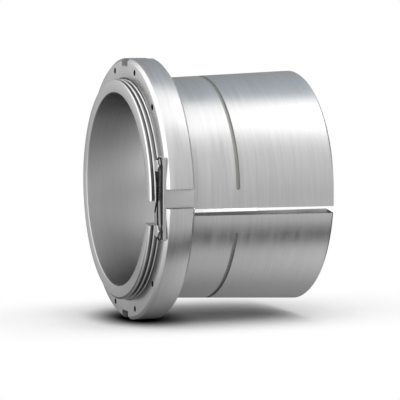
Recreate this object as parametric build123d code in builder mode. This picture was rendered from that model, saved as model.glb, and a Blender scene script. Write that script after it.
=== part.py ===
from build123d import *
from math import cos, degrees, radians, sin, sqrt, tan
import os

# Bearing adapter sleeve with its lock nut and its wired locking clip, in millimetres.
# Z runs up the shaft axis: the big end stands on Z = 0 and the threaded end is at the top.
# X points at the locking clip, which lies in one of the nut's spanner slots.

# Sleeve
bore_diameter = 280.0
thread_wall = 20.0
sleeve_length = 274.0
thread_length = 60.0
taper_ratio = 12.0
bore_chamfer = 1.0
thread_chamfer = 2.0
big_end_chamfer = 2.0
big_end_chamfer_height = 2.5

# Slit down the sleeve, and the notch at its threaded end
slit_angle = -8.0
slit_width = 10.0
notch_width = 35.0
notch_depth = 18.0
notch_corner = 3.0

# Oil groove round the taper, and the port and duct that feed it
groove_height = 144.0
groove_width = 5.5
groove_depth = 3.0
groove_gap = 62.0
duct_diameter = 5.0
duct_offset = 14.5
oil_port_diameter = 11.8
oil_port_depth = 16.0
oil_port_chamfer = 1.2

# Lock nut
nut_wall = 30.0
nut_width = 42.0
nut_setback = 15.0
nut_chamfer = 4.5
nut_chamfer_height = 4.0
nut_bore_chamfer = 1.5
thread_clearance = 0.3
slot_count = 4
slot_width = 27.0
slot_depth = 12.5
tapped_hole_count = 12
tapped_hole_diameter = 8.5
tapped_hole_depth = 22.0
tapped_hole_inset = 14.0
tapped_hole_chamfer = 0.75

# Locking clip
plate_thickness = 4.0
plate_length = 117.0
plate_setback = 6.0
plate_clearance = 1.5
plate_corner = 2.0
plate_bevel = 0.4
clip_hole_diameter = 11.0
key_side_clearance = 0.5
key_floor_clearance = 0.8
key_end_clearance = 1.0
tongue_side_clearance = 1.0
tongue_reach = 12.5

# Clip screws
head_across_flats = 16.0
head_height = 6.0
head_bevel = 0.5
head_bevel_angle = 30.0
neck_diameter = 10.0
screw_length = 22.0
screw_play = 0.1
screw_tip_chamfer = 0.8

# Locking wire
wire_diameter = 2.0
wire_hole_diameter = 2.6
wire_gap = 0.4
wire_run_in = 12.0
wire_overrun = 2.6
strand_pinch = 1.6
tail_reach = 19.5
tail_lift = 2.2
soft_bend = 4.0
tight_bend = 2.2

# Sizes that follow from these
bore_radius = bore_diameter / 2
thread_radius = bore_radius + thread_wall
thread_foot = sleeve_length - thread_length
big_end_radius = thread_radius + thread_foot / taper_ratio / 2
groove_radius = big_end_radius - groove_height / taper_ratio / 2
groove_floor = groove_radius - groove_depth
groove_end_angle = degrees((groove_gap + groove_width) / 2 / groove_radius)
duct_radius = bore_radius + duct_offset
nut_radius = thread_radius + nut_wall
nut_face = sleeve_length - nut_setback
nut_back = nut_face - nut_width
hole_circle_radius = nut_radius - tapped_hole_inset
hole_pitch = 360 / tapped_hole_count
slot_floor = nut_radius - slot_depth
plate_top = nut_face + plate_thickness
plate_outer = nut_radius - plate_setback
plate_inner = thread_radius + plate_clearance
plate_middle = (plate_inner + plate_outer) / 2
screw_x = hole_circle_radius * cos(radians(hole_pitch / 2))
screw_y = hole_circle_radius * sin(radians(hole_pitch / 2))

os.makedirs("parts", exist_ok=True)

with BuildPart() as sleeve:
    # Turned blank: plain bore, taper up to the foot of the thread, thread drawn at its crests
    with BuildSketch(Plane.XZ):
        with BuildLine():
            Polyline(
                (bore_radius, 0),
                (big_end_radius, 0),
                (thread_radius, thread_foot),
                (thread_radius, sleeve_length),
                (bore_radius, sleeve_length),
                close=True,
            )
        make_face()
    revolve(axis=Axis.Z)
    threaded_face = sleeve.faces().sort_by(Axis.Z)[-1]
    chamfer(threaded_face.edges().sort_by(SortBy.RADIUS)[-1], length=thread_chamfer)
    big_end_face = sleeve.faces().sort_by(Axis.Z)[0]
    chamfer(
        big_end_face.edges().sort_by(SortBy.RADIUS)[-1],
        length=big_end_chamfer,
        length2=big_end_chamfer_height,
        reference=big_end_face,
    )
    bore_wall = sleeve.faces().filter_by(GeomType.CYLINDER).sort_by(SortBy.RADIUS)[0]
    chamfer(bore_wall.edges().filter_by(GeomType.CIRCLE), length=bore_chamfer)
    # Oil groove, milled square into the taper from one side of the slit round to the other
    groove_band = big_end_radius - groove_floor
    with BuildSketch(Plane.XZ.rotated((0, 0, slit_angle + groove_end_angle))):
        with Locations((groove_floor, groove_height)):
            Rectangle(groove_band, groove_width, align=(Align.MIN, Align.CENTER))
    revolve(axis=Axis.Z, revolution_arc=360 - 2 * groove_end_angle, mode=Mode.SUBTRACT)
    for end_angle in (slit_angle - groove_end_angle, slit_angle + groove_end_angle):
        with BuildSketch(Plane.YZ.rotated((0, 0, end_angle)).offset(groove_floor)):
            with Locations((0, groove_height)):
                Circle(groove_width / 2)
        extrude(amount=groove_band, mode=Mode.SUBTRACT)
    # Oil port in the big end across from the slit, its duct up the wall, and the drilling to the groove
    duct_angle = slit_angle + 180
    with BuildSketch(Plane.XY):
        with PolarLocations(duct_radius, 1, start_angle=duct_angle):
            Circle(duct_diameter / 2)
    extrude(amount=groove_height + duct_diameter / 2, mode=Mode.SUBTRACT)
    with BuildSketch(Plane.YZ.rotated((0, 0, duct_angle)).offset(duct_radius)):
        with Locations((0, groove_height)):
            Circle(duct_diameter / 2)
    extrude(amount=big_end_radius - duct_radius, mode=Mode.SUBTRACT)
    with BuildSketch(Plane.XY):
        with PolarLocations(duct_radius, 1, start_angle=duct_angle):
            Circle(oil_port_diameter / 2)
    extrude(amount=oil_port_depth, mode=Mode.SUBTRACT)
    port_rim = sleeve.faces().sort_by(Axis.Z)[0].edges().sort_by(SortBy.RADIUS)[0]
    chamfer(port_rim, length=oil_port_chamfer)
    # Slit over the whole length, and the notch that takes the clip's tongue
    with BuildSketch(Plane.YZ.rotated((0, 0, slit_angle))):
        Rectangle(slit_width, sleeve_length, align=(Align.CENTER, Align.MIN))
        with Locations((0, sleeve_length)):
            RectangleRounded(notch_width, 2 * notch_depth, notch_corner)
    extrude(amount=2 * big_end_radius, mode=Mode.SUBTRACT)
sleeve.part.label = "sleeve"
export_step(sleeve.part, "parts/sleeve.step")

with BuildPart() as lock_nut:
    # Turned ring, threaded bore drawn at the crests of the sleeve's thread
    with BuildSketch(Plane.XY.offset(nut_back)):
        Circle(nut_radius)
        Circle(thread_radius + thread_clearance, mode=Mode.SUBTRACT)
    extrude(amount=nut_width)
    for end_face in (lock_nut.faces().sort_by(Axis.Z)[0], lock_nut.faces().sort_by(Axis.Z)[-1]):
        chamfer(
            end_face.edges().sort_by(SortBy.RADIUS)[-1],
            length=nut_chamfer,
            length2=nut_chamfer_height,
            reference=end_face,
        )
    threaded_bore = lock_nut.faces().filter_by(GeomType.CYLINDER).sort_by(SortBy.RADIUS)[0]
    chamfer(threaded_bore.edges().filter_by(GeomType.CIRCLE), length=nut_bore_chamfer)
    # Spanner slots across the rim
    with BuildSketch(Plane.XY.offset(nut_back)):
        with PolarLocations(nut_radius, slot_count):
            Rectangle(2 * slot_depth, slot_width)
    extrude(amount=nut_width, mode=Mode.SUBTRACT)
    # Tapped holes in the outer face, evenly on both sides of each slot
    with Locations(Plane.XY.offset(nut_face)):
        with PolarLocations(hole_circle_radius, tapped_hole_count, start_angle=hole_pitch / 2):
            CounterSinkHole(
                radius=tapped_hole_diameter / 2,
                counter_sink_radius=tapped_hole_diameter / 2 + tapped_hole_chamfer,
                depth=tapped_hole_depth,
                counter_sink_angle=90,
            )
lock_nut.part.label = "lock_nut"
export_step(lock_nut.part, "parts/lock_nut.step")

with BuildPart() as locking_clip:
    # Plate on the nut's face, and its tongue, set over to meet the sleeve's notch
    tongue_tip = thread_radius - tongue_reach
    with BuildSketch(Plane.XY.offset(nut_face)):
        with Locations((plate_middle, 0)):
            RectangleRounded(plate_outer - plate_inner, plate_length, plate_corner)
        with Locations(Location((0, 0), slit_angle)):
            with Locations((tongue_tip, 0)):
                Rectangle(
                    plate_middle - tongue_tip,
                    notch_width - 2 * tongue_side_clearance,
                    align=(Align.MIN, Align.CENTER),
                )
    extrude(amount=plate_thickness)
    chamfer(locking_clip.faces().sort_by(Axis.Z)[-1].edges(), length=plate_bevel)
    # Key that fills the spanner slot
    with BuildSketch(Plane.XY.offset(nut_face)):
        with Locations((plate_outer, 0)):
            Rectangle(
                plate_outer - slot_floor - key_floor_clearance,
                slot_width - 2 * key_side_clearance,
                align=(Align.MAX, Align.CENTER),
            )
    extrude(amount=key_end_clearance - nut_width)
    with Locations((screw_x, screw_y, plate_top), (screw_x, -screw_y, plate_top)):
        Hole(radius=clip_hole_diameter / 2, depth=plate_thickness)
locking_clip.part.label = "locking_clip"
export_step(locking_clip.part, "parts/locking_clip.step")

head_half = head_across_flats / 2
head_corner = head_across_flats / sqrt(3)
wire_height = plate_top + head_height / 2
for number, side in ((1, 1), (2, -1)):
    screw_seat = (screw_x, side * screw_y, plate_top)
    with BuildPart() as clip_screw:
        # Hexagon head with its corners bevelled in the lathe, two flats square to the wire
        with BuildSketch(Plane(screw_seat)):
            RegularPolygon(radius=head_half, side_count=6, major_radius=False)
        extrude(amount=head_height)
        bevel_radius = head_half - head_bevel
        bevel_drop = (head_corner - bevel_radius) * tan(radians(head_bevel_angle))
        with BuildSketch(Plane(origin=screw_seat, x_dir=(1, 0, 0), z_dir=(0, -1, 0))):
            with BuildLine():
                Polyline(
                    (0, 0),
                    (head_corner, 0),
                    (head_corner, head_height - bevel_drop),
                    (bevel_radius, head_height),
                    (0, head_height),
                    close=True,
                )
            make_face()
        revolve(axis=Axis(screw_seat, (0, 0, 1)), mode=Mode.INTERSECT)
        # Plain neck in the plate, then the threaded end drawn at its core
        with BuildSketch(Plane(screw_seat)):
            Circle(neck_diameter / 2)
        extrude(amount=-plate_thickness)
        with BuildSketch(Plane(screw_seat)):
            Circle(tapped_hole_diameter / 2 - screw_play)
        extrude(amount=-screw_length)
        chamfer(clip_screw.faces().sort_by(Axis.Z)[0].edges(), length=screw_tip_chamfer)
        # Hole through the head for the wire
        with BuildSketch(Plane(origin=(screw_x, side * screw_y, wire_height), z_dir=(0, 1, 0))):
            Circle(wire_hole_diameter / 2)
        extrude(amount=head_across_flats, both=True, mode=Mode.SUBTRACT)
    clip_screw.part.label = f"clip_screw_{number}"
    export_step(clip_screw.part, f"parts/clip_screw_{number}.step")

# The wire starts at its tail, lies beside its own end, goes out through the first head, back along the
# outer side of both heads, in through the second head and up to the first again
wire_radius = wire_diameter / 2
wire_low = plate_top + wire_gap + wire_radius
head_inner = screw_y - head_half
far_turn = screw_y + head_half + wire_overrun
outer_lane = screw_x + head_corner + wire_gap + wire_radius
inner_lane = screw_x - strand_pinch
twin_lane = inner_lane - wire_gap - wire_diameter
strands_meet = head_inner - wire_run_in

with BuildPart() as locking_wire:
    with BuildLine() as wire_path:
        FilletPolyline(
            (twin_lane - tail_lift, -tail_reach, wire_height + tail_lift),
            (twin_lane, strands_meet, wire_height),
            (screw_x, head_inner - wire_diameter, wire_height),
            (screw_x, far_turn, wire_height),
            (outer_lane, far_turn, wire_low),
            (outer_lane, -far_turn, wire_low),
            (screw_x, -far_turn, wire_height),
            (screw_x, wire_diameter - head_inner, wire_height),
            (inner_lane, strands_meet - wire_diameter, wire_height),
            radius=[soft_bend] * 2 + [tight_bend] * 4 + [soft_bend],
        )
    with BuildSketch(Plane(origin=wire_path.line @ 0, z_dir=wire_path.line % 0)):
        Circle(wire_radius)
    sweep(path=wire_path.line)
locking_wire.part.label = "locking_wire"
export_step(locking_wire.part, "parts/locking_wire.step")
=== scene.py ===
import bpy
from math import cos, hypot, pi, radians, sin, sqrt, tan
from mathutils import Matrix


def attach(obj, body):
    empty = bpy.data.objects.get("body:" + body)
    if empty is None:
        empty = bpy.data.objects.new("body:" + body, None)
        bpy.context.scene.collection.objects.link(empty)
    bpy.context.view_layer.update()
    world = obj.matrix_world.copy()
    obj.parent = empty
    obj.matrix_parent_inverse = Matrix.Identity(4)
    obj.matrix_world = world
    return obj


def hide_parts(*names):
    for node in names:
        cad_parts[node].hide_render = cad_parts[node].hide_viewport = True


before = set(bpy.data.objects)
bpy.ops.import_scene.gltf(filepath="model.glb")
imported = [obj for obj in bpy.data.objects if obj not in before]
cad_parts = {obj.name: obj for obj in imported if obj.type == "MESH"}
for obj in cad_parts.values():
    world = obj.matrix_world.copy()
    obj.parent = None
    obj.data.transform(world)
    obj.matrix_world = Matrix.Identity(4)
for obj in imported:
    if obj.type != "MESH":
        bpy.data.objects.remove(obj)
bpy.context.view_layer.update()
print("frame loaded")

mm = 0.001           # the pieces' sizes are in millimetres, the studio's in metres
weld = 0.002 * mm    # corners closer than this become one
crease = 25          # degrees at which an edge stays sharp to the eye


def clearSelection():
    if bpy.context.object and bpy.context.object.mode != "OBJECT":
        bpy.ops.object.mode_set(mode="OBJECT")
    bpy.ops.object.select_all(action="DESELECT")


def choose(piece):
    clearSelection()
    piece.select_set(True)
    bpy.context.view_layer.objects.active = piece


def placeInMesh(piece):
    choose(piece)
    bpy.ops.object.transform_apply(location=True, rotation=True, scale=True)


def combine(piece, tool, operation):
    # the faces that come from the tool keep its material
    choose(piece)
    step = piece.modifiers.new("combine", "BOOLEAN")
    step.operation = operation
    step.solver = "EXACT"
    step.material_mode = "TRANSFER"
    step.object = tool
    bpy.ops.object.modifier_apply(modifier=step.name)
    bpy.data.objects.remove(tool)


def cutAway(piece, tool):
    combine(piece, tool, "DIFFERENCE")


def joinOn(piece, part):
    combine(piece, part, "UNION")


def addBox(name, low, high, material):
    clearSelection()
    middle = [(a + b) / 2 * mm for a, b in zip(low, high)]
    bpy.ops.mesh.primitive_cube_add(size=1, location=middle)
    box = bpy.context.object
    box.name = name
    box.scale = [(b - a) * mm for a, b in zip(low, high)]
    placeInMesh(box)
    box.data.materials.append(material)
    return box


def addRod(name, sides, radius, length, middle, tilt, material):
    # tilt in degrees from upright
    clearSelection()
    bpy.ops.mesh.primitive_cylinder_add(
        vertices=sides, radius=radius * mm, depth=length * mm,
        location=[v * mm for v in middle], rotation=[radians(a) for a in tilt],
    )
    rod = bpy.context.object
    rod.name = name
    rod.data.materials.append(material)
    placeInMesh(rod)
    return rod


def drawProfile(name, points, material):
    # one vertex, extruded from corner to corner in the plane through the shaft axis
    clearSelection()
    bpy.ops.mesh.primitive_plane_add(size=mm)
    profile = bpy.context.object
    profile.name = name
    profile.data.materials.append(material)
    bpy.ops.object.mode_set(mode="EDIT")
    bpy.ops.mesh.select_mode(type="VERT")
    bpy.ops.mesh.select_all(action="SELECT")
    bpy.ops.mesh.merge(type="CENTER")
    bpy.ops.transform.translate(value=(points[0][0] * mm, 0, points[0][1] * mm))
    for (r0, z0), (r1, z1) in zip(points, points[1:]):
        side = ((r1 - r0) * mm, 0, (z1 - z0) * mm)
        bpy.ops.mesh.extrude_vertices_move(TRANSFORM_OT_translate={"value": side})
    bpy.ops.mesh.select_all(action="SELECT")
    bpy.ops.mesh.edge_face_add()
    return profile


def spinRound(steps, angle=360):
    # in edit mode, clockwise round the shaft axis as seen from above
    bpy.ops.mesh.select_all(action="SELECT")
    bpy.ops.mesh.spin(steps=steps, angle=radians(angle), center=(0, 0, 0), axis=(0, 0, 1))
    bpy.ops.mesh.select_all(action="SELECT")
    bpy.ops.mesh.remove_doubles(threshold=weld)
    bpy.ops.mesh.normals_make_consistent(inside=False)


def turnRing(name, points, material, steps, edgeRound):
    # a closed profile rounded at its corners and spun all the way round the shaft axis
    ring = drawProfile(name, points, material)
    bpy.ops.mesh.bevel(offset=edgeRound * mm, segments=2, affect="VERTICES")
    bpy.ops.mesh.select_all(action="SELECT")
    bpy.ops.mesh.delete(type="ONLY_FACE")
    spinRound(steps)
    bpy.ops.object.mode_set(mode="OBJECT")
    return ring


def turnPlug(name, points, material, steps, place=(0, 0)):
    # a solid round tool or pin: its profile runs from axis to axis
    plug = drawProfile(name, points, material)
    bpy.ops.mesh.delete(type="ONLY_FACE")
    bpy.ops.object.mode_set(mode="OBJECT")
    pickEdges(plug, lambda a, b: abs(a.x) < 1e-7 and abs(b.x) < 1e-7)
    bpy.ops.mesh.delete(type="EDGE")
    spinRound(steps)
    bpy.ops.transform.translate(value=(place[0] * mm, place[1] * mm, 0))
    bpy.ops.object.mode_set(mode="OBJECT")
    return plug


def pickEdges(piece, test):
    choose(piece)
    bpy.ops.object.mode_set(mode="EDIT")
    bpy.ops.mesh.select_mode(type="EDGE")
    bpy.ops.mesh.select_all(action="DESELECT")
    bpy.ops.object.mode_set(mode="OBJECT")
    corners = piece.data.vertices
    for edge in piece.data.edges:
        a, b = edge.vertices
        edge.select = test(corners[a].co, corners[b].co)
    bpy.ops.object.mode_set(mode="EDIT")


def roundEdges(piece, offset, segments, test):
    pickEdges(piece, test)
    bpy.ops.mesh.bevel(offset=offset * mm, segments=segments, affect="EDGES")
    bpy.ops.object.mode_set(mode="OBJECT")


def coverFaces(piece, material, test):
    # gives the faces whose corners all pass another material
    choose(piece)
    piece.data.materials.append(material)
    bpy.ops.object.mode_set(mode="EDIT")
    bpy.ops.mesh.select_mode(type="FACE")
    bpy.ops.mesh.select_all(action="DESELECT")
    bpy.ops.object.mode_set(mode="OBJECT")
    corners = piece.data.vertices
    for face in piece.data.polygons:
        face.select = all(test(corners[i].co) for i in face.vertices)
    bpy.ops.object.mode_set(mode="EDIT")
    piece.active_material_index = len(piece.data.materials) - 1
    bpy.ops.object.material_slot_assign()
    bpy.ops.object.mode_set(mode="OBJECT")


def copyRound(piece, angles):
    # copies of one tool round the shaft axis, joined into one
    copies = []
    for angle in angles:
        choose(piece)
        bpy.ops.object.duplicate()
        copies.append(turnTo(bpy.context.object, angle))
    clearSelection()
    for copy in copies:
        copy.select_set(True)
    bpy.context.view_layer.objects.active = copies[0]
    bpy.ops.object.join()
    bpy.data.objects.remove(piece)
    return bpy.context.object


def turnTo(piece, angle):
    piece.rotation_euler.z = radians(angle)
    placeInMesh(piece)
    return piece


def smooth(piece):
    choose(piece)
    bpy.ops.object.mode_set(mode="EDIT")
    bpy.ops.mesh.select_all(action="SELECT")
    bpy.ops.mesh.remove_doubles(threshold=weld)
    bpy.ops.object.mode_set(mode="OBJECT")
    bpy.ops.object.shade_smooth_by_angle(angle=radians(crease))


def settle(piece, node):
    placeInMesh(piece)
    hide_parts(node)
    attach(piece, "root")


# Material nodes
def newMaterial(name):
    material = bpy.data.materials.new(name)
    material.use_nodes = True
    return material, material.node_tree, material.node_tree.nodes["Principled BSDF"]


def newGlow(name):
    material, tree, shader = newMaterial(name)
    tree.nodes.remove(shader)
    glow = tree.nodes.new("ShaderNodeEmission")
    tree.links.new(glow.outputs["Emission"], tree.nodes["Material Output"].inputs["Surface"])
    return material, tree, glow


def feed(tree, socket, value):
    # a socket takes another node's output or a plain value
    if isinstance(value, bpy.types.NodeSocket):
        tree.links.new(value, socket)
    else:
        socket.default_value = value


def objectPlace(tree):
    return tree.nodes.new("ShaderNodeTexCoord").outputs["Object"]


def split(tree, vector):
    node = tree.nodes.new("ShaderNodeSeparateXYZ")
    tree.links.new(vector, node.inputs["Vector"])
    return node.outputs


def calculate(tree, operation, *values):
    node = tree.nodes.new("ShaderNodeMath")
    node.operation = operation
    for socket, value in zip(node.inputs, values):
        feed(tree, socket, value)
    return node.outputs["Value"]


def calculateVector(tree, operation, *values):
    node = tree.nodes.new("ShaderNodeVectorMath")
    node.operation = operation
    for socket, value in zip(node.inputs, values):
        feed(tree, socket, value)
    return node.outputs["Value" if operation in ("LENGTH", "DOT_PRODUCT") else "Vector"]


def mapRange(tree, value, source=(0.0, 1.0), target=(0.0, 1.0), curve="LINEAR"):
    node = tree.nodes.new("ShaderNodeMapRange")
    node.interpolation_type = curve
    node.inputs["From Min"].default_value, node.inputs["From Max"].default_value = source
    node.inputs["To Min"].default_value, node.inputs["To Max"].default_value = target
    tree.links.new(value, node.inputs["Value"])
    return node.outputs["Result"]


def mixColors(tree, share, first, second):
    node = tree.nodes.new("ShaderNodeMix")
    node.data_type = "RGBA"
    feed(tree, node.inputs["Factor"], share)
    feed(tree, node.inputs["A"], first)
    feed(tree, node.inputs["B"], second)
    return node.outputs["Result"]


def mixShaders(tree, share, first, second):
    node = tree.nodes.new("ShaderNodeMixShader")
    tree.links.new(share, node.inputs["Fac"])
    tree.links.new(first, node.inputs[1])
    tree.links.new(second, node.inputs[2])
    return node.outputs["Shader"]


def addNoise(tree, vector, scale, detail, roughness):
    node = tree.nodes.new("ShaderNodeTexNoise")
    node.inputs["Scale"].default_value = scale
    node.inputs["Detail"].default_value = detail
    node.inputs["Roughness"].default_value = roughness
    tree.links.new(vector, node.inputs["Vector"])
    return node.outputs["Fac"]


def addRelief(tree, shader, height, strength):
    bump = tree.nodes.new("ShaderNodeBump")
    bump.inputs["Strength"].default_value = strength
    bump.inputs["Distance"].default_value = 0.02 * mm
    tree.links.new(height, bump.inputs["Height"])
    tree.links.new(bump.outputs["Normal"], shader.inputs["Normal"])


def toned(color, factor):
    return (*[min(1.0, c * factor) for c in color], 1)


# Finishes
def turnedSteel(name, color, roughness, anisotropy, contrast, unevenness, relief):
    # turning marks run round the shaft, so gleams smear along it on a barrel and outwards on a face
    material, tree, shader = newMaterial(name)
    shader.inputs["Metallic"].default_value = 1.0
    shader.inputs["Anisotropic"].default_value = anisotropy
    shader.inputs["Anisotropic Rotation"].default_value = 0.25
    place = objectPlace(tree)
    flat = calculateVector(tree, "MULTIPLY", place, (1, 1, 0))
    outward = calculateVector(tree, "NORMALIZE", flat)
    around = calculateVector(tree, "CROSS_PRODUCT", (0, 0, 1), outward)
    tree.links.new(around, shader.inputs["Tangent"])

    # position along the profile, with a slow drift round the shaft so that no mark runs the whole way round
    profile = calculate(tree, "ADD", split(tree, place)["Z"], calculateVector(tree, "LENGTH", flat))
    drift = split(tree, outward)

    def marks(fineness, slowness, detail):
        gather = tree.nodes.new("ShaderNodeCombineXYZ")
        for axis in ("X", "Y"):
            tree.links.new(calculate(tree, "MULTIPLY", drift[axis], slowness), gather.inputs[axis])
        tree.links.new(calculate(tree, "MULTIPLY", profile, fineness), gather.inputs["Z"])
        return addNoise(tree, gather.outputs["Vector"], 1.0, detail, 0.65)

    fine = marks(900.0, 2.5, 3.0)
    broad = marks(160.0, 1.2, 2.0)
    both = calculate(tree, "MULTIPLY_ADD", fine, 0.6, calculate(tree, "MULTIPLY", broad, 0.4))
    tint = mixColors(tree, both, toned(color, 1 - contrast), toned(color, 1 + contrast))
    tree.links.new(tint, shader.inputs["Base Color"])
    rough = mapRange(tree, broad, (0.3, 0.7), (roughness - unevenness, roughness + unevenness))
    tree.links.new(rough, shader.inputs["Roughness"])
    addRelief(tree, shader, fine, relief)
    return material


def plainSteel(name, color, roughness, metal=1.0):
    # milled, drilled or stamped steel: fine even grain, no direction
    grainSize, contrast, unevenness, relief = 0.6 * mm, 0.12, 0.05, 0.15
    material, tree, shader = newMaterial(name)
    shader.inputs["Metallic"].default_value = metal
    grain = addNoise(tree, objectPlace(tree), 1 / grainSize, 3.0, 0.5)
    tint = mixColors(tree, grain, toned(color, 1 - contrast), toned(color, 1 + contrast))
    tree.links.new(tint, shader.inputs["Base Color"])
    rough = mapRange(tree, grain, target=(roughness - unevenness, roughness + unevenness))
    tree.links.new(rough, shader.inputs["Roughness"])
    addRelief(tree, shader, grain, relief)
    return material


# color and roughness, and for turned steel also anisotropy, contrast, unevenness and relief
finish = {
    "turned": turnedSteel("turnedSteel", (0.63, 0.63, 0.63), 0.34, 0.75, 0.22, 0.055, 0.12),
    "bored": turnedSteel("boredSteel", (0.42, 0.42, 0.42), 0.28, 0.72, 0.14, 0.003, 0.0),
    "faced": turnedSteel("facedSteel", (0.64, 0.64, 0.64), 0.26, 0.6, 0.03, 0.008, 0.02),
    # darkened thread-cut steel: painted shade in the thread grooves
    "threadCutPaintedShade": turnedSteel("threadSteelPaintedShade", (0.22, 0.22, 0.22), 0.30, 0.6, 0.06, 0.015, 0.03),
    # near-black sawn steel: painted shade on the slit's walls
    "sawnPaintedShade": plainSteel("sawnSteelPaintedShade", (0.034, 0.034, 0.034), 0.5),
    "milled": plainSteel("milledSteel", (0.42, 0.42, 0.42), 0.42),
    "grooveFloor": plainSteel("grooveSteel", (0.39, 0.40, 0.38), 0.55),
    # near-black drilled steel: painted shade inside the holes
    "drilledPaintedShade": plainSteel("drilledSteelPaintedShade", (0.05, 0.05, 0.05), 0.5),
    "clip": plainSteel("clipSteel", (0.57, 0.57, 0.57), 0.35),
    "screw": plainSteel("screwSteel", (0.60, 0.60, 0.60), 0.3),
    "wire": plainSteel("wireSteel", (0.012, 0.012, 0.012), 0.5, metal=0.0),
}
finish["wire"].node_tree.nodes["Principled BSDF"].inputs["Specular IOR Level"].default_value = 0.1
print("finishes ready")


# Thread: a groove with steep flanks wound round the shaft, its crests eased by a wider, shallower one
thread = {
    "radius": 160.0,
    "pitch": 7.0,
    "crestPlace": 265.5,          # height of a crest's middle on the +X side
    "easing": (6.2, 1.2, 45.0),   # width at the crests, depth, flank in degrees from square
    "groove": (4.9, 3.4, 20.0),
    "turns": 10,
    "turnsBelow": 6.5,            # of them, below the crest
    "outside": 2.0,               # how far the tool stands out of the crests
    "steps": 240,
}


def threadTool(form, material):
    t = thread
    width, depth, flank = form
    slope = tan(radians(flank))
    root = width / 2 - depth * slope
    lip = width / 2 + t["outside"] * slope
    bottom = t["crestPlace"] - t["turnsBelow"] * t["pitch"]
    inner = t["radius"] - depth
    outer = t["radius"] + t["outside"]
    tool = drawProfile(
        "threadTool",
        [(inner, bottom - root), (outer, bottom - lip), (outer, bottom + lip), (inner, bottom + root)],
        material,
    )
    bpy.ops.mesh.select_all(action="SELECT")
    bpy.ops.mesh.delete(type="ONLY_FACE")
    bpy.ops.object.mode_set(mode="OBJECT")
    wind = tool.modifiers.new("wind", "SCREW")
    wind.axis = "Z"
    wind.angle = 2 * pi
    wind.screw_offset = t["pitch"] * mm
    wind.iterations = t["turns"]
    wind.steps = t["steps"]
    wind.render_steps = t["steps"]
    choose(tool)
    bpy.ops.object.modifier_apply(modifier=wind.name)
    bpy.ops.object.mode_set(mode="EDIT")
    bpy.ops.mesh.select_all(action="SELECT")
    bpy.ops.mesh.fill_holes(sides=4)
    bpy.ops.mesh.select_all(action="SELECT")
    bpy.ops.mesh.normals_make_consistent(inside=False)
    bpy.ops.object.mode_set(mode="OBJECT")
    return tool


# Sleeve
sleeveSize = {
    "bore": 140.0,
    "thread": 160.0,
    "bigEnd": 168.917,
    "length": 274.0,
    "foot": 214.0,                # height at which the taper meets the thread
    "taper": 24.0,                # the radius grows by 1 in this
    "boreChamfer": 1.0,
    "threadChamfer": 2.0,
    "bigEndChamfer": (2.0, 2.5),
    "edgeRound": 0.25,
    "slitAngle": -8.0,
    "slitWidth": 10.0,
    "notchWidth": 35.0,
    "notchDepth": 18.0,
    "notchCorner": 3.0,
    "grooveHeight": 144.0,
    "grooveWidth": 5.5,
    "grooveDepth": 3.0,
    "grooveGap": 62.0,            # between its ends, across the slit
    "grooveSteps": 220,
    "ductRadius": 2.5,
    "ductPlace": 154.5,
    "drillingLength": 16.0,       # from the duct out to the groove
    "portRadius": 5.9,
    "portDepth": 16.0,
    "portChamfer": 1.2,
    "steps": 240,
}
throughWall = (120, 190)          # radii between which a tool cuts the whole wall


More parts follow.
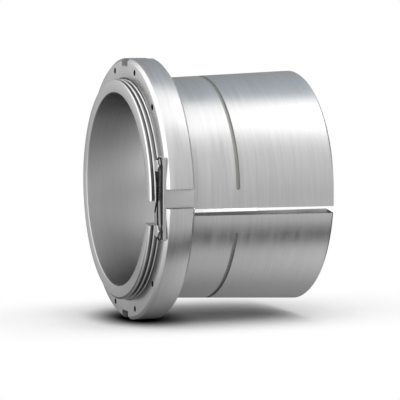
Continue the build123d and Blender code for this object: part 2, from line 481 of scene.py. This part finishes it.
def makeSleeve():
    s = sleeveSize
    wide, tall = s["bigEndChamfer"]
    c, b = s["threadChamfer"], s["boreChamfer"]
    sleeve = turnRing(
        "turnedSleeve",
        [
            (s["bore"] + b, 0),
            (s["bigEnd"] - wide, 0),
            (s["bigEnd"] - tall / s["taper"], tall),
            (s["thread"], s["foot"]),
            (s["thread"], s["length"] - c),
            (s["thread"] - c, s["length"]),
            (s["bore"] + b, s["length"]),
            (s["bore"], s["length"] - b),
            (s["bore"], b),
        ],
        finish["turned"],
        s["steps"],
        s["edgeRound"],
    )

    def inBore(co):
        # with the chamfer at the threaded end, without the one at the big end
        reach = b + 0.1 if co.z > s["foot"] * mm else 0.3
        return hypot(co.x, co.y) < (s["bore"] + reach) * mm

    coverFaces(sleeve, finish["bored"], inBore)
    coverFaces(sleeve, finish["faced"], lambda co: co.z > (s["length"] - 0.1) * mm)
    cutAway(sleeve, threadTool(thread["easing"], finish["turned"]))
    # the groove's faces take the darkened steel, painted shade in the thread
    cutAway(sleeve, threadTool(thread["groove"], finish["threadCutPaintedShade"]))
    print("sleeve threaded")

    # oil groove from one side of the slit round to the other, with round ends
    height, half = s["grooveHeight"], s["grooveWidth"] / 2
    atGroove = s["bigEnd"] - height / s["taper"]
    floor = atGroove - s["grooveDepth"]
    reach = 9                     # how far the tool stands out of the floor
    low, high = height - half, height + half
    gap = (s["grooveGap"] / 2 + half) / atGroove * 180 / pi
    groove = drawProfile(
        "grooveTool", [(floor, low), (floor + reach, low), (floor + reach, high), (floor, high)], finish["grooveFloor"]
    )
    spinRound(s["grooveSteps"], 360 - 2 * gap)
    bpy.ops.object.mode_set(mode="OBJECT")
    cutAway(sleeve, turnTo(groove, s["slitAngle"] - gap))
    for side in (-1, 1):
        end = addRod("grooveEnd", 40, half, reach, (floor + reach / 2, 0, height), (0, 90, 0), finish["grooveFloor"])
        cutAway(sleeve, turnTo(end, s["slitAngle"] + side * gap))

    # oil port in the big end, its duct and the drilling out to the groove, their walls near black as painted shade
    mouth = s["portRadius"] + s["portChamfer"] + 1
    port = turnPlug(
        "portTool",
        [(0, -1), (mouth, -1), (s["portRadius"], s["portChamfer"]), (s["portRadius"], s["portDepth"]),
         (s["ductRadius"], s["portDepth"] + 2), (s["ductRadius"], height), (0, height)],
        finish["drilledPaintedShade"], steps=40, place=(s["ductPlace"], 0),
    )
    cutAway(sleeve, turnTo(port, s["slitAngle"] + 180))
    length = s["drillingLength"]
    middle = (s["ductPlace"] + length / 2 - 1, 0, height - 1)
    drilling = addRod("drillingTool", 24, s["ductRadius"], length, middle, (0, 90, 0), finish["drilledPaintedShade"])
    cutAway(sleeve, turnTo(drilling, s["slitAngle"] + 180))

    # slit over the whole length and the notch for the clip's tongue
    inner, outer = throughWall
    wide = s["slitWidth"] / 2
    # the slit's walls take the near-black steel, painted shade in the slit
    slit = addBox("slitTool", (inner, -wide, -5), (outer, wide, s["length"] + 6), finish["sawnPaintedShade"])
    cutAway(sleeve, turnTo(slit, s["slitAngle"]))
    wide = s["notchWidth"] / 2
    floor = s["length"] - s["notchDepth"]
    notch = addBox("notchTool", (inner, -wide, floor), (outer, wide, s["length"] + 20), finish["milled"])
    low = (floor + 1) * mm
    roundEdges(notch, s["notchCorner"], 6, lambda a, b: a.z < low and b.z < low and abs(a.y - b.y) < 1e-6)
    cutAway(sleeve, turnTo(notch, s["slitAngle"]))
    smooth(sleeve)
    settle(sleeve, "sleeve")
    print("sleeve done")


# Lock nut
nutSize = {
    "radius": 190.0,
    "face": 259.0,
    "back": 217.0,
    "bore": 160.3,
    "chamfer": (4.5, 4.0),
    "boreChamfer": 1.5,
    "edgeRound": 0.5,
    "slotWidth": 27.0,
    "slotFloor": 177.5,
    "slotCorner": 1.0,
    "holeCircle": 176.0,
    "holeRadius": 4.25,
    "holeDepth": 22.0,
    "holeChamfer": 0.2,
    "drillTip": 2.4,
    "holes": 12,
    "steps": 288,
}


def makeNut():
    n = nutSize
    wide, tall = n["chamfer"]
    c = n["boreChamfer"]
    nut = turnRing(
        "lockNut",
        [
            (n["bore"] + c, n["back"]),
            (n["radius"] - wide, n["back"]),
            (n["radius"], n["back"] + tall),
            (n["radius"], n["face"] - tall),
            (n["radius"] - wide, n["face"]),
            (n["bore"] + c, n["face"]),
            (n["bore"], n["face"] - c),
            (n["bore"], n["back"] + c),
        ],
        finish["turned"],
        n["steps"],
        n["edgeRound"],
    )
    coverFaces(nut, finish["faced"], lambda co: co.z > (n["face"] - 0.1) * mm)
    slot = addBox(
        "slotTool",
        (n["slotFloor"], -n["slotWidth"] / 2, n["back"] - 5),
        (n["radius"] + 5, n["slotWidth"] / 2, n["face"] + 5),
        finish["milled"],
    )
    floor = (n["slotFloor"] + 0.1) * mm
    roundEdges(slot, n["slotCorner"], 4, lambda a, b: a.x < floor and b.x < floor and abs(a.z - b.z) > mm)
    cutAway(nut, copyRound(slot, [0, 90, 180, 270]))
    r, k = n["holeRadius"], n["holeChamfer"]
    # the tapped holes' walls are near black, painted shade in the holes
    hole = turnPlug(
        "holeTool",
        [(0, n["face"] + 1), (r + k + 1, n["face"] + 1), (r, n["face"] - k), (r, n["face"] - n["holeDepth"]),
         (0, n["face"] - n["holeDepth"] - n["drillTip"])],
        finish["drilledPaintedShade"], steps=28, place=(n["holeCircle"], 0),
    )
    pitch = 360 / n["holes"]
    cutAway(nut, copyRound(hole, [pitch / 2 + pitch * i for i in range(n["holes"])]))
    smooth(nut)
    settle(nut, "lock_nut")
    print("nut done")


# Locking clip
clipSize = {
    "face": 259.0,
    "thickness": 4.0,
    "inner": 161.5,
    "outer": 184.0,
    "halfLength": 58.5,
    "tongueTip": 147.5,
    "tongueRoot": 173.0,
    "tongueHalf": 16.5,
    "keyFloor": 178.3,
    "keyHalf": 13.0,
    "keyEnd": 218.0,
    "holePlace": (170.003, 45.552),
    "holeRadius": 5.5,
    "edge": 0.45,
    "corner": 2.0,
}


def makeClip():
    k = clipSize
    face = k["face"]
    top = face + k["thickness"]
    clip = addBox(
        "lockingClip", (k["inner"], -k["halfLength"], face), (k["outer"], k["halfLength"], top), finish["clip"]
    )
    roundEdges(clip, k["corner"], 5, lambda a, b: abs(a.z - b.z) > mm)
    tongue = addBox(
        "tongue", (k["tongueTip"], -k["tongueHalf"], face), (k["tongueRoot"], k["tongueHalf"], top), finish["clip"]
    )
    joinOn(clip, turnTo(tongue, sleeveSize["slitAngle"]))
    key = addBox(
        "key", (k["keyFloor"], -k["keyHalf"], k["keyEnd"]), (k["outer"], k["keyHalf"], face + 1), finish["clip"]
    )
    joinOn(clip, key)
    for side in (-1, 1):
        x, y = k["holePlace"]
        cutAway(clip, addRod("clipDrill", 32, k["holeRadius"], 12, (x, side * y, top), (0, 0, 0), finish["clip"]))
    choose(clip)
    ease = clip.modifiers.new("ease", "BEVEL")
    ease.width = k["edge"] * mm
    ease.segments = 2
    ease.limit_method = "ANGLE"
    ease.angle_limit = radians(40)
    ease.use_clamp_overlap = True
    bpy.ops.object.modifier_apply(modifier=ease.name)
    smooth(clip)
    settle(clip, "locking_clip")
    print("clip done")


# Clip screws
screwSize = {
    "place": (170.003, 45.552),
    "seat": 263.0,
    "acrossFlats": 16.0,
    "headHeight": 6.0,
    "headBevel": 0.5,
    "bevelAngle": 30.0,
    "neck": 5.0,
    "core": 4.15,
    "tip": 0.8,
    "length": 22.0,
    "plate": 4.0,
    "wireHole": 1.3,
}


def makeScrew(number, side):
    w = screwSize
    seat, core, tip = w["seat"], w["core"], w["tip"]
    corner = w["acrossFlats"] / sqrt(3)
    flat = w["acrossFlats"] / 2
    top = seat + w["headHeight"]
    middle = seat + w["headHeight"] / 2
    slope = tan(radians(w["bevelAngle"]))
    drop = (corner - flat + w["headBevel"]) * slope
    screw = addRod(f"clipScrew{number}", 6, corner, w["headHeight"], (0, 0, middle), (0, 0, 90), finish["screw"])
    blank = turnPlug(
        "headBlank",
        [(0, seat - 1), (corner + 1, seat - 1), (corner + 1, top - drop - slope), (flat - w["headBevel"], top),
         (0, top)],
        finish["screw"], steps=72,
    )
    combine(screw, blank, "INTERSECT")
    end = seat - w["length"]
    shank = turnPlug(
        "shank",
        [(0, end), (core - tip, end), (core, end + tip), (core, seat - w["plate"]), (w["neck"], seat - w["plate"]),
         (w["neck"], seat + 1), (0, seat + 1)],
        finish["screw"], steps=40,
    )
    joinOn(screw, shank)
    # the wire hole's walls are near black, painted shade in the hole
    cutAway(screw, addRod("wireDrill", 20, w["wireHole"], 30, (0, 0, middle), (90, 0, 0), finish["drilledPaintedShade"]))
    screw.location = (w["place"][0] * mm, side * w["place"][1] * mm, 0)
    placeInMesh(screw)
    smooth(screw)
    settle(screw, f"clip_screw_{number}")
    print(f"screw {number} done")


# Locking wire: one strand whose two ends are twisted together between the heads
wireSize = {
    "radius": 1.1,
    "twistFrom": (166.4, 17.0, 265.5),
    "twistTo": (166.2, -4.0, 265.7),
    "twistTurns": 2.5,
    "twistRadius": 1.15,
    "twistSteps": 36,
    "crease": 40,
}

# from the twist through the head on the +Y side, back behind the heads, through the other head and to the twist
wireRoute = [
    (167.4, 22.0, 264.8), (168.6, 32.0, 265.2), (169.8, 37.6, 265.8), (170.0, 41.0, 266.0), (170.0, 50.0, 266.0),
    (170.0, 54.5, 266.0), (170.6, 56.3, 266.0), (173.0, 57.2, 266.0), (177.0, 57.2, 265.8), (180.0, 56.0, 265.4),
    (180.9, 53.0, 265.0), (180.8, 46.0, 264.6), (180.4, 36.0, 264.4), (179.2, 18.0, 264.4), (178.6, 0.0, 264.4),
    (179.2, -18.0, 264.4), (180.4, -36.0, 264.4), (180.8, -46.0, 264.6), (180.9, -53.0, 265.0),
    (180.0, -56.0, 265.4), (177.0, -57.2, 265.8), (173.0, -57.2, 266.0), (170.6, -56.3, 266.0),
    (170.0, -54.5, 266.0), (170.0, -50.0, 266.0), (170.0, -41.0, 266.0), (169.6, -37.5, 266.0),
    (168.0, -30.0, 265.8), (166.8, -18.0, 265.6), (166.0, -9.0, 265.4),
]
firstTail = [(162.6, -20.0, 268.0), (164.2, -13.0, 267.4), (165.4, -7.0, 266.6)]
lastTail = [(165.0, 22.0, 266.0), (164.0, 31.0, 266.8), (163.2, 37.6, 267.2)]


def twistPoints(phase):
    # from the far end of the twist to its start
    w = wireSize
    points = []
    for i in range(w["twistSteps"] + 1):
        f = i / w["twistSteps"]
        angle = 2 * pi * w["twistTurns"] * f + phase
        x, y, z = [p + (q - p) * f for p, q in zip(w["twistFrom"], w["twistTo"])]
        points.append((x + w["twistRadius"] * cos(angle), y, z + w["twistRadius"] * sin(angle)))
    return points[::-1]


def makeWire():
    clearSelection()
    bpy.ops.curve.primitive_nurbs_path_add()
    wire = bpy.context.object
    wire.name = "twistedWire"
    line = wire.data
    line.splines.clear()
    points = firstTail + twistPoints(0) + wireRoute + twistPoints(pi) + lastTail
    run = line.splines.new("NURBS")
    run.points.add(len(points) - 1)
    for point, place in zip(run.points, points):
        point.co = (*[v * mm for v in place], 1)
    run.order_u = 3
    run.use_endpoint_u = True
    run.resolution_u = 5
    line.dimensions = "3D"
    line.bevel_depth = wireSize["radius"] * mm
    line.bevel_resolution = 3
    line.use_fill_caps = True
    wire.data.materials.append(finish["wire"])
    choose(wire)
    bpy.ops.object.convert(target="MESH")
    wire = bpy.context.object
    placeInMesh(wire)
    bpy.ops.object.shade_smooth_by_angle(angle=radians(wireSize["crease"]))
    settle(wire, "locking_wire")
    print("wire done")


makeSleeve()
makeNut()
makeClip()
makeScrew(1, 1)
makeScrew(2, -1)
makeWire()


# Studio, in metres: the sleeve lies across the picture, with +Y up
camera = {
    "place": (3.40118, 0.29548, 1.36497),
    "turn": (-4.8936, 70.2400, 0.0933),   # degrees
    "lens": 222.13,
    "sensor": 36.0,
}

studio = {
    "floorDrop": 0.1901,                  # from the shaft axis to the floor that the nut lies on
    "floorSize": 12.0,
    "fadeStretch": (2.0, 0.6, 1.0),       # a distance on the floor counts double towards the camera
    "fadeShift": (0.04, 0.12, 0.0),
    "fade": (0.12, 0.50),                 # the floor turns plain white between these distances
    # painted shadow on the floor round the nut: its colour grows from black to white
    "paintedShadowStretch": 1.6,                # along the shaft, from the middle of the nut
    "paintedShadow": (0.03, 0.14),              # the floor grows from black to white between these
    "skyLight": 0.88,                     # what the floor gets from all round and from straight above
    "topLight": 0.15,
    "topLightAngle": 38.0,                # degrees across
    "boreLight": 7.0,
    "boreLightRadius": 0.1405,
    "boreLightDrop": 0.001,               # below the big end
    "shadePlace": (0, -0.1903, 0.225),
    "shadeSize": (0.2, 0.06),
    "shadeRim": 0.36,                     # its light at both sides; it is black in the middle
}

tent = {
    "radius": 1.6,
    "length": 5.0,
    "strength": 2.0,
    "turn": -4.7,                         # degrees
    "middle": (0, 0, 0.2),                # where its directions are told from
    "lean": (0.6, 1.0, 0.8),              # how much X, Y and Z count in the tones over the threaded end
    "leanRange": (-1.0, 1.2),
    "growthPlace": (-1.3, 0.3),           # brighter past the big end, so that the barrel grows lighter towards it
    "growth": (1.60, 0.52),
    "groundTone": 0.8,                    # straight past the big end, with a dark ring round it
    "ringTone": 0.04,
    "groundEdge": (-0.985, -0.97),        # how far the directions lean to the threaded end where the tones change
    "ringEdge": (-0.82, -0.74),
    "upperEdge": (0.0, 0.25),
}

# angle round the shaft, from the top of the picture towards the camera, at which the tent's tone is seen mirrored
# in the barrel, the tone there and how blue it is
aroundTones = [
    (0, 0.70, 0.0), (10, 0.30, 0.0), (16, 0.38, 0.02), (33, 0.52, 0.12), (41, 0.60, 0.06), (47, 1.75, 0.0),
    (61, 1.80, 0.0), (66, 1.10, 0.0), (73, 0.80, 0.0), (94, 0.58, 0.0), (107, 0.66, 0.0), (114, 0.08, 0.0),
    (117, 0.10, 0.0), (123, 0.66, 0.0), (133, 0.64, 0.0), (147, 0.38, 0.0), (180, 0.18, 0.0),
]

# over the threaded end, by how far the direction leans up, towards the threaded end and to the camera
upperTones = [
    (-0.95, 0.14), (-0.8, 0.24), (-0.56, 0.38), (-0.4, 0.44), (-0.25, 0.62), (-0.1, 0.78), (0.1, 0.80),
    (0.22, 0.84), (0.35, 1.05), (0.5, 1.3), (0.65, 1.6), (0.88, 1.85),
]

# of the light in the bore, by the angle round the shaft
boreTones = [(-150, 0.5), (-52, 0.95), (5, 0.27), (30, 0.27), (95, 0.56), (125, 0.34), (180, 0.4)]


def addCamera():
    clearSelection()
    bpy.ops.object.camera_add(location=camera["place"], rotation=[radians(a) for a in camera["turn"]])
    eye = bpy.context.object
    eye.data.lens = camera["lens"]
    eye.data.sensor_width = camera["sensor"]
    bpy.context.scene.camera = eye


def addFloor():
    # seen from below it lets the object show through
    clearSelection()
    bpy.ops.mesh.primitive_plane_add(
        size=studio["floorSize"], location=(0, -studio["floorDrop"], 0), rotation=(radians(-90), 0, 0)
    )
    floor = bpy.context.object
    floor.name = "studioFloor"
    material, tree, shader = newMaterial("paleFloor")
    shader.inputs["Roughness"].default_value = 1.0
    shader.inputs["Specular IOR Level"].default_value = 0.0
    place = objectPlace(tree)

    def distance(stretch, shift):
        return calculateVector(tree, "LENGTH", calculateVector(tree, "MULTIPLY_ADD", place, stretch, shift))

    # painted shadow: the floor's colour is darkest where the nut lies
    along = studio["paintedShadowStretch"]
    nutMiddle = (nutSize["face"] + nutSize["back"]) / 2 * mm
    paintedShadow = mapRange(tree, distance((1, along, 1), (0, along * nutMiddle, 0)), studio["paintedShadow"], curve="SMOOTHSTEP")
    tree.links.new(paintedShadow, shader.inputs["Base Color"])

    # to the camera, plain white away from the object
    fade = mapRange(tree, distance(studio["fadeStretch"], studio["fadeShift"]), studio["fade"], curve="SMOOTHSTEP")
    path = tree.nodes.new("ShaderNodeLightPath")
    white = tree.nodes.new("ShaderNodeEmission")
    share = calculate(tree, "MULTIPLY", fade, path.outputs["Is Camera Ray"])
    cover = mixShaders(tree, share, shader.outputs["BSDF"], white.outputs["Emission"])
    side = tree.nodes.new("ShaderNodeNewGeometry")
    clear = tree.nodes.new("ShaderNodeBsdfTransparent")
    choice = mixShaders(tree, side.outputs["Backfacing"], cover, clear.outputs["BSDF"])
    tree.links.new(choice, tree.nodes["Material Output"].inputs["Surface"])
    floor.data.materials.append(material)
    floor.visible_glossy = False


def finishCard(card, name, material):
    # a card that shows only in the steel
    card.name = name
    placeInMesh(card)
    card.data.materials.append(material)
    for flag in ("visible_camera", "visible_shadow", "visible_diffuse", "visible_transmission"):
        setattr(card, flag, False)


def addRamp(tree, place, stops):
    ramp = tree.nodes.new("ShaderNodeValToRGB")
    tree.links.new(place, ramp.inputs["Fac"])
    elements = ramp.color_ramp.elements
    while len(elements) > 1:
        elements.remove(elements[-1])
    elements[0].position, elements[0].color = stops[0][0], (*stops[0][1], 1)
    for position, color in stops[1:]:
        elements.new(position).color = (*color, 1)
    return ramp.outputs["Color"]


def roundShaft(tree, place):
    # 0 to 1 by the angle round the shaft
    gradient = tree.nodes.new("ShaderNodeTexGradient")
    gradient.gradient_type = "RADIAL"
    tree.links.new(place, gradient.inputs["Vector"])
    return gradient.outputs["Fac"]


def tentStops(tones, place):
    stops = []
    for where, tone, blue in tones:
        level = tone / tent["strength"]
        stops.append((place(where), (level * (1 - blue), level, level * (1 + blue))))
    return sorted(stops)


def addTent():
    clearSelection()
    bpy.ops.mesh.primitive_cylinder_add(vertices=96, radius=tent["radius"], depth=tent["length"], end_fill_type="NGON")
    cloth = bpy.context.object
    material, tree, glow = newGlow("tentCloth")
    place = objectPlace(tree)
    mapping = tree.nodes.new("ShaderNodeMapping")
    mapping.inputs["Rotation"].default_value = (0, 0, radians(tent["turn"]))
    tree.links.new(place, mapping.inputs["Vector"])
    stops = tentStops(aroundTones, lambda angle: 1 - angle / 180)
    around = addRamp(tree, roundShaft(tree, mapping.outputs["Vector"]), stops)
    growth = mapRange(tree, split(tree, place)["Z"], tent["growthPlace"], tent["growth"])
    around = calculateVector(tree, "MULTIPLY", around, growth)

    direction = calculateVector(tree, "NORMALIZE", calculateVector(tree, "SUBTRACT", place, tent["middle"]))
    lean = calculateVector(tree, "DOT_PRODUCT", direction, tent["lean"])
    low, high = tent["leanRange"]
    stops = tentStops([(where, tone, 0) for where, tone in upperTones], lambda where: (where - low) / (high - low))
    above = addRamp(tree, mapRange(tree, lean, tent["leanRange"]), stops)

    # from straight past the big end round to the threaded end
    height = split(tree, direction)["Z"]
    tone = (*[tent["groundTone"]] * 3, 1)
    ring = (*[tent["ringTone"]] * 3, 1)
    for edge, following in ((tent["groundEdge"], ring), (tent["ringEdge"], around), (tent["upperEdge"], above)):
        tone = mixColors(tree, mapRange(tree, height, edge, curve="SMOOTHSTEP"), tone, following)
    tree.links.new(tone, glow.inputs["Color"])

    # light that comes back from the steel leaves the floor's shadow alone
    path = tree.nodes.new("ShaderNodeLightPath")
    direct = calculate(tree, "LESS_THAN", path.outputs["Diffuse Depth"], 0.5)
    tree.links.new(calculate(tree, "MULTIPLY", direct, tent["strength"]), glow.inputs["Strength"])
    finishCard(cloth, "lightTent", material)


def addBoreLight():
    # a disc at the bore's far end, brightest opposite the camera
    clearSelection()
    bpy.ops.mesh.primitive_circle_add(
        vertices=64, radius=studio["boreLightRadius"], fill_type="NGON", location=(0, 0, -studio["boreLightDrop"])
    )
    disc = bpy.context.object
    material, tree, glow = newGlow("boreLightCloth")
    glow.inputs["Strength"].default_value = studio["boreLight"]
    stops = [((angle + 180) / 360, (level, level, level)) for angle, level in boreTones]
    tree.links.new(addRamp(tree, roundShaft(tree, objectPlace(tree)), stops), glow.inputs["Color"])
    finishCard(disc, "boreLight", material)


def addShade():
    # painted shade: a card seen only in the steel, standing in for the shadowed floor under the nut, as the steel
    # shows it, growing lighter to both sides
    width, length = studio["shadeSize"]
    clearSelection()
    bpy.ops.mesh.primitive_plane_add(size=1, location=studio["shadePlace"], rotation=(radians(90), 0, 0))
    shade = bpy.context.object
    shade.scale = (width, length, 1)
    material, tree, glow = newGlow("contactShadeCloth")
    across = split(tree, objectPlace(tree))["X"]
    square = calculate(tree, "MULTIPLY", across, across)
    level = calculate(tree, "MULTIPLY", square, studio["shadeRim"] / (width / 2) ** 2)
    tree.links.new(level, glow.inputs["Strength"])
    finishCard(shade, "contactShade", material)


def addWorld():
    # white to the camera and the steel, dimmer to the floor, which the lamp above makes up
    world = bpy.data.worlds.new("paleStudio")
    bpy.context.scene.world = world
    world.use_nodes = True
    tree = world.node_tree
    back = tree.nodes["Background"]
    back.inputs["Color"].default_value = (1, 1, 1, 1)
    path = tree.nodes.new("ShaderNodeLightPath")
    level = mapRange(tree, path.outputs["Is Diffuse Ray"], target=(1.0, studio["skyLight"]))
    tree.links.new(level, back.inputs["Strength"])


def addTopLight():
    clearSelection()
    bpy.ops.object.light_add(type="SUN", location=(0, 2, 0), rotation=(radians(-90), 0, 0))
    lamp = bpy.context.object
    lamp.name = "topLight"
    lamp.data.energy = pi * studio["topLight"]
    lamp.data.angle = radians(studio["topLightAngle"])
    lamp.visible_glossy = False


addWorld()
addCamera()
addFloor()
addTopLight()
addTent()
addBoreLight()
addShade()
print("studio built")

bpy.context.scene.view_settings.view_transform = "Standard"
